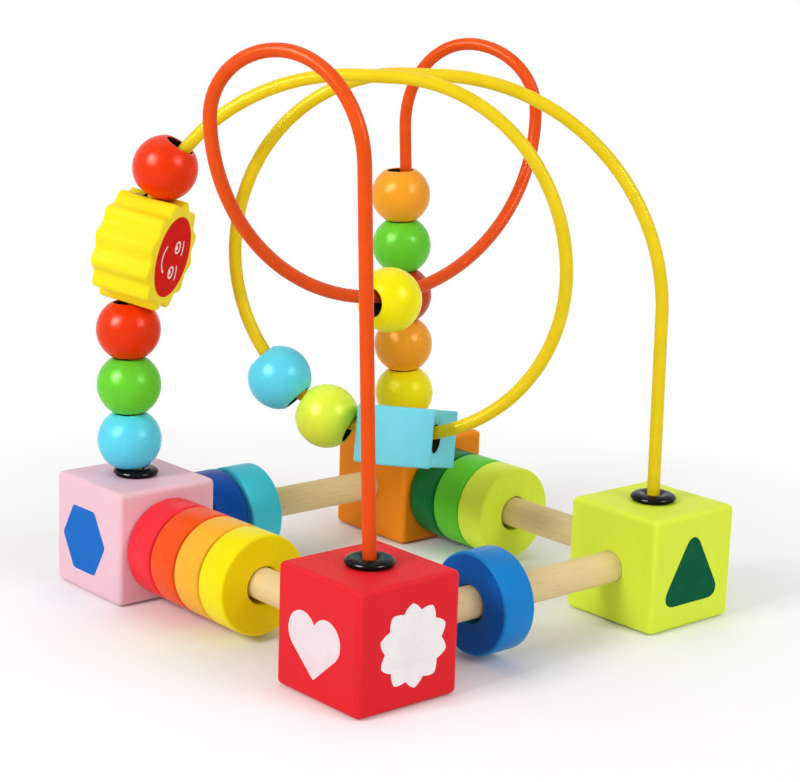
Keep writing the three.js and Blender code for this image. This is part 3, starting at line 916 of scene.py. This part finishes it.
class MAZE_OT_discs(bpy.types.Operator):
    """Builds the painted discs that slide on the rails."""

    bl_idname = "maze.discs"
    bl_label = "Discs"

    def execute(self, context):
        base = context.scene.maze_base
        inner = base.rail_diameter / 2 + base.disc_play
        outer = base.disc_diameter / 2
        half = base.disc_thickness / 2
        height = base.rail_height - base.disc_play + base.seat_gap
        for start, end, discs, first_gap, gap in RAILS:
            along = (corner(end) - corner(start)).normalized()
            station = base.block / 2 + getattr(base, first_gap) + half
            for colour in discs:
                bm = turned_ring([(inner, -half), (outer, -half), (outer, half), (inner, half)], 96)
                sharp = folds(bm, 60)
                rims = [e for e in sharp if e.verts[0].co.xy.length > (inner + outer) / 2]
                mouths = [e for e in sharp if e not in rims]
                round_edges(bm, rims, base.disc_round, 5)
                round_edges(bm, [e for e in mouths if e.is_valid], base.disc_round * 0.45, 3)
                smooth_with_creases(bm)
                # Marks the flat sides, where the blue disc's painted shade goes
                flat_side = bm.verts.layers.float.new("flat_side")
                for vert in bm.verts:
                    vert[flat_side] = 1 if abs(vert.co.z) > half * 0.999 else 0
                place_along(bm, at_height(corner(start) + along * station, height), along)
                node = f"disc_{colour}"
                dress(new_object(f"{node}_painted", bm), finish_for(node), node, node, node)
                station += base.disc_thickness + getattr(base, gap)
        return {"FINISHED"}


class MAZE_OT_collars(bpy.types.Operator):
    """Builds the black collars round the wires' feet."""

    bl_idname = "maze.collars"
    bl_label = "Collars"

    def execute(self, context):
        base, wires = context.scene.maze_base, context.scene.maze_wires
        outer, top = base.collar_diameter / 2, base.collar_height
        inner = wires.diameter / 2 + base.hole_gap
        middle, half = (outer + inner) / 2, (outer - inner) / 2
        waist = top * 0.35
        turns = [math.pi * i / 16 for i in range(17)]
        dome = [(middle + half * math.cos(t), waist + (top - waist) * math.sin(t)) for t in turns]
        profile = [(inner, 0), (outer * 0.93, 0), *dome]
        for colour in BLOCKS:
            bm = turned_ring(profile, 64)
            smooth_with_creases(bm, 50)
            place_along(bm, at_height(corner(colour), base.block + base.seat_gap), UP)
            collar = new_object(f"collar_{colour}_moulded", bm)
            dress(collar, finish_for("collar"), BASE_BODY, "collar", f"collar_{colour}")
            shiny_pieces().objects.link(collar)
        return {"FINISHED"}


class MAZE_OT_wires(bpy.types.Operator):
    """Sweeps the two coated wires along their bends."""

    bl_idname = "maze.wires"
    bl_label = "Wires"

    def execute(self, context):
        radius = context.scene.maze_wires.diameter / 2
        for name, path in (("wire_yellow", yellow_path()), ("wire_orange", orange_path()[0])):
            wire = new_object(f"{name}_coated", self.swept(path.points, radius, 24))
            dress(wire, finish_for(name), BASE_BODY, name, name)
            shiny_pieces().objects.link(wire)
        return {"FINISHED"}

    @staticmethod
    def swept(points, radius, sides):
        """A round section drawn along a line of points."""
        bm = bmesh.new()
        heading = (points[1] - points[0]).normalized()
        turn = UP.rotation_difference(heading).to_matrix().to_4x4()
        start = Matrix.Translation(points[0]) @ turn
        made = bmesh.ops.create_circle(bm, cap_ends=False, segments=sides, radius=radius, matrix=start)
        ring = list({e for v in made["verts"] for e in v.link_edges})
        ends = [ring]
        for i in range(1, len(points)):
            after = points[min(i + 1, len(points) - 1)]
            new_heading = (after - points[i - 1]).normalized()
            grown = bmesh.ops.extrude_edge_only(bm, edges=ring)["geom"]
            verts = [g for g in grown if isinstance(g, bmesh.types.BMVert)]
            ring = [g for g in grown if isinstance(g, bmesh.types.BMEdge)]
            bmesh.ops.translate(bm, vec=points[i] - points[i - 1], verts=verts)
            bend = heading.rotation_difference(new_heading).to_matrix()
            bmesh.ops.rotate(bm, cent=points[i], matrix=bend, verts=verts)
            heading = new_heading
        ends.append(ring)
        for loop in ends:
            bmesh.ops.contextual_create(bm, geom=loop)
        close_up(bm)
        smooth_with_creases(bm)
        return bm


class MAZE_OT_beads(bpy.types.Operator):
    """Builds the round painted beads on both wires."""

    bl_idname = "maze.beads"
    bl_label = "Beads"

    def execute(self, context):
        base, _, beads = sizes()
        yellow = yellow_path()
        orange, dip = orange_path()
        for i, colour in enumerate(("cyan", "green", "red")):
            station = column_start() + i * (beads.length + beads.post_gap)
            self.add(f"bead_post_{colour}", f"bead_{colour}", yellow, station, TOWARDS_PINK)
        self.add("bead_arch_red", "bead_red", yellow, sun_station()[1], TOWARDS_PINK)
        lime = loop_station(yellow)
        cyan = lime + pitch_on_loop(beads.length, beads.length)
        self.add("bead_loop_lime", "bead_lime", yellow, lime, DOWN)
        self.add("bead_loop_cyan", "bead_cyan", yellow, cyan, DOWN)
        self.add("bead_dip_yellow", "bead_yellow", orange, dip, DOWN)
        back_start = column_start() - base.seat_gap + beads.back_foot_gap
        for i, name in enumerate(("yellow", "amber", "dark_red", "green", "orange")):
            station = orange.length - back_start - i * (beads.length + beads.back_gap)
            colour = "amber" if name == "orange" else name
            self.add(f"bead_back_{name}", f"bead_{colour}", orange, station, TOWARDS_PINK)
        return {"FINISHED"}

    def add(self, node, slot, path, station, drift):
        """One bead in place of a CAD node, leaning on its wire."""
        centre, axis = path.seat(station, bpy.context.scene.maze_beads.length, drift)
        bm = self.ball()
        place_along(bm, centre, axis)
        bead = new_object(f"{node}_painted", bm)
        dress(bead, finish_for(slot), node, slot, node)
        shade_the_bore(bead, centre, axis)
        shiny_pieces().objects.link(bead)

    @staticmethod
    def ball():
        """A ball with flat ends, rounded lips and a bore along Z."""
        _, wires, beads = sizes()
        radius, half = beads.diameter / 2, beads.length / 2
        bore = wires.diameter / 2 + beads.bore_play
        lip_round, mouth_round = beads.diameter * 0.014, beads.diameter * 0.012
        end = math.asin(half / radius)
        bm = bmesh.new()
        low = bm.verts.new((radius * math.cos(end), 0, -half))
        bmesh.ops.spin(bm, geom=[low], cent=(0, 0, 0), axis=(0, -1, 0), angle=2 * end, steps=20)
        bm.verts.ensure_lookup_table()
        high = max(bm.verts, key=lambda v: v.co.z)
        low_mouth, high_mouth = bm.verts.new((bore, 0, -half)), bm.verts.new((bore, 0, half))
        for pair in ((low, low_mouth), (high, high_mouth), (low_mouth, high_mouth)):
            bm.edges.new(pair)
        spin_about_z(bm, 64)
        sharp = folds(bm, 30)
        lips = [e for e in sharp if e.verts[0].co.xy.length > bore * 1.05]
        mouths = [e for e in sharp if e not in lips]
        round_edges(bm, lips, lip_round, 3)
        round_edges(bm, [e for e in mouths if e.is_valid], mouth_round, 3)
        smooth_with_creases(bm, 50)
        return bm


class MAZE_OT_sun(bpy.types.Operator):
    """Builds the scalloped sun block and its printed face."""

    bl_idname = "maze.sun"
    bl_label = "Sun"

    # The lines of the face lie just above the ink of the badge, in metres
    line_level = 0.0001

    def execute(self, context):
        beads, paints = context.scene.maze_beads, context.scene.maze_paints
        centre, axis = yellow_path().seat(sun_station()[0], beads.sun_diameter, TOWARDS_LIME)
        face = (TOWARDS_LIME - axis * TOWARDS_LIME.dot(axis)).normalized()
        face.rotate(Matrix.Rotation(beads.sun_turn, 3, axis))
        axes = (axis.cross(face), axis)
        block = self.scalloped(beads)
        place(block, centre, *axes)
        add_bored_block("sun_block", "sun", block, centre, axis, beads.sun_diameter)
        red, white = tuple(paints.print_red), tuple(paints.print_flower)
        badge_ink = printed_ink("sun_badge_ink", red, tuple(paints.sun))
        line_ink = printed_ink("sun_line_ink", white, red)
        prints = [("sun_badge", self.badge(beads.sun_diameter), badge_ink)]
        prints += [(name, bm, line_ink) for name, bm in self.face_lines(beads.sun_diameter)]
        for name, bm, ink in prints:
            place(bm, centre + face * beads.sun_thickness / 2, *axes)
            dress(new_object(name, bm), ink, "sun_block", "sun")
        return {"FINISHED"}

    @staticmethod
    def scalloped(beads):
        """The sun about Z: a round plate with a wavy rim and rounded edges."""
        steps_per_scallop = 14
        mean = (beads.sun_diameter - beads.sun_depth) / 2

        def reach_at(turn):
            return mean - beads.sun_depth / 2 * math.cos(beads.sun_scallops * turn)

        bm = wavy_outline(beads.sun_scallops * steps_per_scallop, reach_at)
        bmesh.ops.translate(bm, vec=(0, 0, -beads.sun_thickness / 2), verts=bm.verts)
        thicken(bm, beads.sun_thickness)
        round_edges(bm, folds(bm, 60), beads.shape_round, 4)
        smooth_with_creases(bm, 60)
        keep_ends_flat(bm)
        return bm

    @staticmethod
    def inked(bm, level):
        """A flat print made as thick as ink, at a level above the face."""
        close_up(bm)
        for vert in bm.verts:
            vert.co.z = level
        thicken(bm, bpy.context.scene.maze_prints.ink)
        return bm

    def badge(self, unit):
        """The round printed ground of the face, for a sun of a diameter."""
        bm = bmesh.new()
        bmesh.ops.create_circle(bm, cap_ends=True, segments=96, radius=unit * 0.365)
        return self.inked(bm, 0)

    def face_lines(self, unit):
        """A smile, and two slanted eyes with pupils and brows, in shares of the sun's diameter."""
        smile = self.arc(unit, (-0.11, 0), 0.133, 0.017, math.pi, math.radians(125))
        made = [("sun_smile", smile)]
        for name, shift, radius, width, sweep in (
            ("sun_eye", (0, 0), 0.05, 0.018, FULL_TURN),
            ("sun_pupil", (-0.02, 0), 0.01, 0.018, FULL_TURN),
            ("sun_brow", (-0.03, -0.02), 0.155, 0.017, math.radians(50)),
        ):
            for level, side in (("upper", 1), ("lower", -1)):
                eye = (0.035 + 0.03 * side, 0.11 * side - 0.03)
                centre = (eye[0] + shift[0], eye[1] + shift[1])
                made.append((f"{name}_{level}", self.arc(unit, centre, radius, width, 0, sweep)))
        return made

    def arc(self, unit, centre, radius, width, middle, sweep):
        """A curved line of ink about a point of the face."""
        bm = bmesh.new()
        start = Matrix.Rotation(middle - sweep / 2, 3, "Z")
        reaches = [unit * (radius + w) for w in (-width / 2, width / 2)]
        ends = [bm.verts.new(start @ Vector((reach, 0, 0))) for reach in reaches]
        bmesh.ops.spin(
            bm,
            geom=[*ends, bm.edges.new(ends)],
            cent=(0, 0, 0),
            axis=(0, 0, 1),
            angle=sweep,
            steps=24,
            use_merge=sweep == FULL_TURN,
        )
        bmesh.ops.translate(bm, vec=Vector((*centre, 0)) * unit, verts=bm.verts)
        return self.inked(bm, self.line_level)


class MAZE_OT_moon(bpy.types.Operator):
    """Builds the crescent moon block."""

    bl_idname = "maze.moon"
    bl_label = "Moon"

    def execute(self, context):
        beads = context.scene.maze_beads
        path = yellow_path()
        station = loop_station(path) - pitch_on_loop(beads.length, beads.moon_waist)
        centre, axis = path.seat(station, beads.moon_waist, DOWN)
        open_way = -axis
        upright = (UP - open_way * UP.dot(open_way)).normalized()
        upright.rotate(Matrix.Rotation(beads.moon_roll, 3, open_way))
        bm = self.crescent(beads)
        place(bm, centre, open_way, upright.cross(open_way))
        add_bored_block("moon_block", "moon", bm, centre, open_way, beads.moon_waist)
        return {"FINISHED"}

    @staticmethod
    def crescent(beads):
        """The crescent about Z, open towards X, with the middle of its waist at the origin."""
        outer, hollow, waist = beads.moon_radius, beads.moon_hollow, beads.moon_waist
        offset = waist - outer + hollow
        tip_x = (outer**2 - hollow**2 + offset**2) / (2 * offset)
        tip_y = math.sqrt(outer**2 - tip_x**2)
        centre = outer - waist / 2
        half = beads.moon_height / 2
        bm = bmesh.new()
        tip = bm.verts.new((centre + tip_x, tip_y, -half))
        outer_sweep = 2 * math.pi - 2 * math.atan2(tip_y, tip_x)
        bmesh.ops.spin(bm, geom=[tip], cent=(centre, 0, 0), axis=(0, 0, 1), angle=outer_sweep, steps=96)
        again = bm.verts.new((centre + tip_x, tip_y, -half))
        hollow_sweep = 2 * math.atan2(tip_y, offset - tip_x)
        bmesh.ops.spin(
            bm, geom=[again], cent=(centre + offset, 0, 0), axis=(0, 0, 1), angle=hollow_sweep, steps=40
        )
        bmesh.ops.remove_doubles(bm, verts=bm.verts, dist=1e-6)
        bmesh.ops.contextual_create(bm, geom=bm.edges[:])
        thicken(bm, beads.moon_height)
        round_edges(bm, folds(bm, 40), beads.shape_round, 4)
        smooth_with_creases(bm, 50)
        keep_ends_flat(bm)
        return bm


class MAZE_OT_prints(bpy.types.Operator):
    """Prints the plain shapes on the blocks' outer faces."""

    bl_idname = "maze.prints"
    bl_label = "Prints"

    def execute(self, context):
        paints, prints = context.scene.maze_paints, context.scene.maze_prints
        half = context.scene.maze_base.block / 2
        left, front = Vector((-1, 0, 0)), Vector((0, -1, 0))
        # Each shape, its block and face, and its place right of and above the face's middle in metres
        for shape, block, outwards, spot in (
            ("heart", "red", left, (-0.0012, -0.0119)),
            ("flower", "red", front, (0.0011, -0.0004)),
            ("hexagon", "pink", left, (-0.0020, -0.0011)),
            ("triangle", "lime", front, (-0.0005, -0.0023)),
        ):
            name = f"print_{shape}"
            ink = printed_ink(name + "_ink", tuple(getattr(paints, name)), tuple(getattr(paints, block)))
            bm = getattr(self, shape)(prints)
            bmesh.ops.translate(bm, vec=(*spot, 0), verts=bm.verts)
            close_up(bm)
            thicken(bm, prints.ink)
            place(bm, at_height(corner(block), half) + outwards * half, UP.cross(outwards), UP)
            dress(new_object(name, bm), ink, BASE_BODY, block)
        return {"FINISHED"}

    @staticmethod
    def heart(prints):
        """A plump heart from two round lobes and two straight sides, with its tip at the origin."""
        radius, side, rise = prints.heart_lobe, prints.heart_side, prints.heart_rise
        low = -math.atan2(side, rise) - math.asin(radius / math.hypot(side, rise))
        notch = math.pi - math.acos(side / radius)
        bm = bmesh.new()
        lobes = []
        for sign in (1, -1):
            centre = Vector((sign * side, rise, 0))
            first = bm.verts.new(centre + radius * Vector((sign * math.cos(low), math.sin(low), 0)))
            turn = sign * (notch - low)
            bmesh.ops.spin(bm, geom=[first], cent=centre, axis=(0, 0, 1), angle=turn, steps=30)
            lobes.append(first)
        tip = bm.verts.new((0, 0, 0))
        for first in lobes:
            bm.edges.new((tip, first))
        bmesh.ops.remove_doubles(bm, verts=bm.verts, dist=1e-6)
        bmesh.ops.contextual_create(bm, geom=bm.edges[:])
        round_corners(bm, [tip], prints.heart_tip, 3)
        return bm

    @staticmethod
    def flower(prints):
        """A round shape with ten blunt petals."""
        petals, bluntness = 10, 1.25

        def reach_at(turn):
            order = petals * (turn - prints.flower_turn) / FULL_TURN
            from_petal = 2 * abs(order - round(order))
            return prints.flower_radius + prints.flower_petal * (1 - from_petal**bluntness)

        return wavy_outline(240, reach_at)

    @staticmethod
    def hexagon(prints):
        """A hexagon with a level top."""
        bm = bmesh.new()
        turn = Matrix.Rotation(math.pi / 6, 4, "Z")
        bmesh.ops.create_circle(bm, cap_ends=True, segments=6, radius=prints.hexagon_radius, matrix=turn)
        round_corners(bm, bm.verts[:], prints.hexagon_round, 4)
        return bm

    @staticmethod
    def triangle(prints):
        """An upright triangle with round corners."""
        bm = bmesh.new()
        bmesh.ops.create_circle(bm, cap_ends=True, segments=3, radius=prints.triangle_radius)
        round_corners(bm, bm.verts[:], prints.triangle_round, 10)
        return bm


class MAZE_OT_stage(bpy.types.Operator):
    """Sets up the pale floor, the soft light and the camera."""

    bl_idname = "maze.stage"
    bl_label = "Stage"

    # Camera: direction, tilt, distance and aim in metres, and its lens for a 36 mm wide picture
    azimuth = math.radians(-41.22)
    elevation = math.radians(12.61)
    tilt = math.radians(1.88)
    distance = 0.62232
    aim_height = 0.060
    aim_right = 0.00141
    aim_up = 0.00628
    lens = 90.63
    picture_width = 36
    nearest = 0.01

    # Where the lamps and panels stand, and the point that they face, in metres
    key_spot = (-1.12, 0.02, 0.74)
    fill_spot = (0.25, -1.05, 0.70)
    top_spot = (0.15, 0.35, 1.30)
    lit_point = (0, 0, 0.07)

    # The floor's half side and depth, and where its camera-only glow and its white begin and end, in metres
    floor_reach = 6
    floor_depth = 0.0003
    haze = (0.055, 0.12)
    whitening = (0.10, 0.25)

    def execute(self, context):
        self.add_camera(context.scene)
        self.add_floor()
        # Sides in metres, then power in watts or strength
        self.add_lamp("key_lamp", self.key_spot, 0.36, 7.9)
        self.add_lamp("fill_lamp", self.fill_spot, 0.5, 4.4)
        self.add_lamp("top_lamp", self.top_spot, 0.9, 2.2)
        self.add_panel("key_panel", self.key_spot, 0.62, 46.0)
        self.add_panel("fill_panel", self.fill_spot, 0.45, 24.0)
        self.add_world(context.scene)
        context.scene.view_settings.view_transform = "Standard"
        return {"FINISHED"}

    def add_camera(self, scene):
        """The camera at the photograph's view."""
        a, e = self.azimuth, self.elevation
        right = Vector((math.cos(a), math.sin(a), 0))
        back = Vector((math.sin(a) * math.cos(e), -math.cos(a) * math.cos(e), math.sin(e)))
        up = back.cross(right)
        aim = UP * self.aim_height + right * self.aim_right + up * self.aim_up
        roll = Matrix.Rotation(self.tilt, 3, back)
        axes = Matrix((roll @ right, roll @ up, back)).transposed().to_4x4()
        data = bpy.data.cameras.new("camera")
        data.sensor_fit = "HORIZONTAL"
        data.sensor_width = self.picture_width
        data.lens = self.lens
        data.clip_start = self.nearest
        camera = bpy.data.objects.new("camera", data)
        camera.matrix_world = Matrix.Translation(aim + back * self.distance) @ axes
        scene.collection.objects.link(camera)
        scene.camera = camera

    def facing_toy(self, spot):
        """The place and turn of a lamp or panel that faces the toy."""
        way = Vector(self.lit_point) - Vector(spot)
        return Matrix.Translation(spot) @ way.to_track_quat("-Z", "Y").to_matrix().to_4x4()

    def add_lamp(self, name, spot, side, power):
        """A soft square lamp that faces the toy."""
        data = bpy.data.lights.new(name, "AREA")
        data.shape = "SQUARE"
        data.size = side
        data.energy = power
        lamp = bpy.data.objects.new(name, data)
        lamp.matrix_world = self.facing_toy(spot)
        bpy.context.scene.collection.objects.link(lamp)

    def add_panel(self, name, spot, side, strength):
        """A glowing panel in front of a lamp that only shows as a highlight on shiny pieces."""
        bm = bmesh.new()
        bmesh.ops.create_grid(bm, x_segments=1, y_segments=1, size=side / 2, matrix=self.facing_toy(spot))
        panel = new_object(name, bm)
        material = bpy.data.materials.new(name + "_glow")
        material.cycles.emission_sampling = "NONE"
        tree = emptied(material)
        glow = add_node(tree, "ShaderNodeEmission", {"Color": WHITE, "Strength": strength})
        clear = add_node(tree, "ShaderNodeBsdfTransparent")
        show(tree, fed(tree, "ShaderNodeAddShader", glow.outputs["Emission"], clear.outputs["BSDF"]))
        panel.data.materials.append(material)
        for kind in ("camera", "diffuse", "transmission", "volume_scatter", "shadow"):
            setattr(panel, "visible_" + kind, False)
        panel.light_linking.receiver_collection = shiny_pieces()

    @staticmethod
    def looked_at(tree):
        """1 where the camera looks, also by way of reflections or glass, and 0 for light on the toy."""
        ray = add_node(tree, "ShaderNodeLightPath")
        seen = ray.outputs["Is Camera Ray"]
        for kind in ("Is Glossy Ray", "Is Transmission Ray"):
            seen = fed(tree, "ShaderNodeMath", seen, ray.outputs[kind], operation="MAXIMUM")
        return seen

    def add_floor(self):
        """A pale floor that keeps the shadow near the toy and is white further out."""
        bm = bmesh.new()
        bmesh.ops.create_grid(bm, x_segments=1, y_segments=1, size=self.floor_reach)
        bmesh.ops.translate(bm, vec=(0, 0, -self.floor_depth), verts=bm.verts)
        floor = new_object("floor", bm)
        material = bpy.data.materials.new("floor_paper")
        tree = emptied(material)
        matt = {"Base Color": (0.95, 0.95, 0.95, 1), "Roughness": 0.9, "Specular IOR Level": 0.0}
        shader = add_node(tree, "ShaderNodeBsdfPrincipled", matt)
        coords = add_node(tree, "ShaderNodeTexCoord")
        reach = add_node(tree, "ShaderNodeVectorMath", operation="LENGTH")
        tree.links.new(coords.outputs["Object"], reach.inputs[0])
        away = reach.outputs["Value"]
        seen = self.looked_at(tree)
        # Painted light: a glow seen only by the camera lightens the floor, none near the toy and up to 0.1
        # further out
        haze = spread(tree, away, *self.haze, 0.0, 0.1)
        lift = add_node(tree, "ShaderNodeEmission", {"Color": WHITE})
        lift_level = fed(tree, "ShaderNodeMath", seen, haze, operation="MULTIPLY")
        tree.links.new(lift_level, lift.inputs["Strength"])
        paper = fed(tree, "ShaderNodeAddShader", shader.outputs["BSDF"], lift.outputs["Emission"])
        white = add_node(tree, "ShaderNodeEmission", {"Color": WHITE, "Strength": 1.0})
        far = spread(tree, away, *self.whitening)
        share_white = fed(tree, "ShaderNodeMath", far, seen, operation="MULTIPLY")
        show(tree, fed(tree, "ShaderNodeMixShader", share_white, paper, white.outputs["Emission"]))
        floor.data.materials.append(material)

    def add_world(self, scene):
        """Even light from all round, with a white background for the camera."""
        scene.world = bpy.data.worlds.new("studio")
        tree = emptied(scene.world)
        light = add_node(tree, "ShaderNodeBackground", {"Color": WHITE, "Strength": 0.42}).outputs[0]
        white = add_node(tree, "ShaderNodeBackground", {"Color": WHITE, "Strength": 1.0}).outputs[0]
        show(tree, fed(tree, "ShaderNodeMixShader", self.looked_at(tree), light, white), "World")


PIECE_OPERATORS = (
    MAZE_OT_stage,
    MAZE_OT_blocks,
    MAZE_OT_rails,
    MAZE_OT_discs,
    MAZE_OT_collars,
    MAZE_OT_wires,
    MAZE_OT_beads,
    MAZE_OT_sun,
    MAZE_OT_moon,
    MAZE_OT_prints,
)


class MAZE_PT_panel(bpy.types.Panel):
    """Lists the maze's pieces, sizes and colours."""

    bl_label = "Bead Maze"
    bl_idname = "MAZE_PT_panel"
    bl_space_type = "VIEW_3D"
    bl_region_type = "UI"
    bl_category = "Bead Maze"

    def draw(self, context):
        for operator in PIECE_OPERATORS:
            self.layout.operator(operator.bl_idname)
        for group in GROUPS:
            values = getattr(context.scene, group)
            box = self.layout.box()
            for name in values.__annotations__:
                box.prop(values, name)


GROUPS = {
    "maze_base": MazeBase,
    "maze_wires": MazeWires,
    "maze_beads": MazeBeads,
    "maze_prints": MazePrints,
    "maze_paints": MazePaints,
}
CLASSES = (*GROUPS.values(), *PIECE_OPERATORS, MAZE_PT_panel)


def register():
    for cls in CLASSES:
        bpy.utils.register_class(cls)
    for name, group in GROUPS.items():
        setattr(bpy.types.Scene, name, PointerProperty(type=group))


def unregister():
    for name in GROUPS:
        delattr(bpy.types.Scene, name)
    for cls in reversed(CLASSES):
        bpy.utils.unregister_class(cls)


def main():
    register()
    for operator in PIECE_OPERATORS:
        family, name = operator.bl_idname.split(".")
        getattr(getattr(bpy.ops, family), name)()


if __name__ == "__main__":
    main()
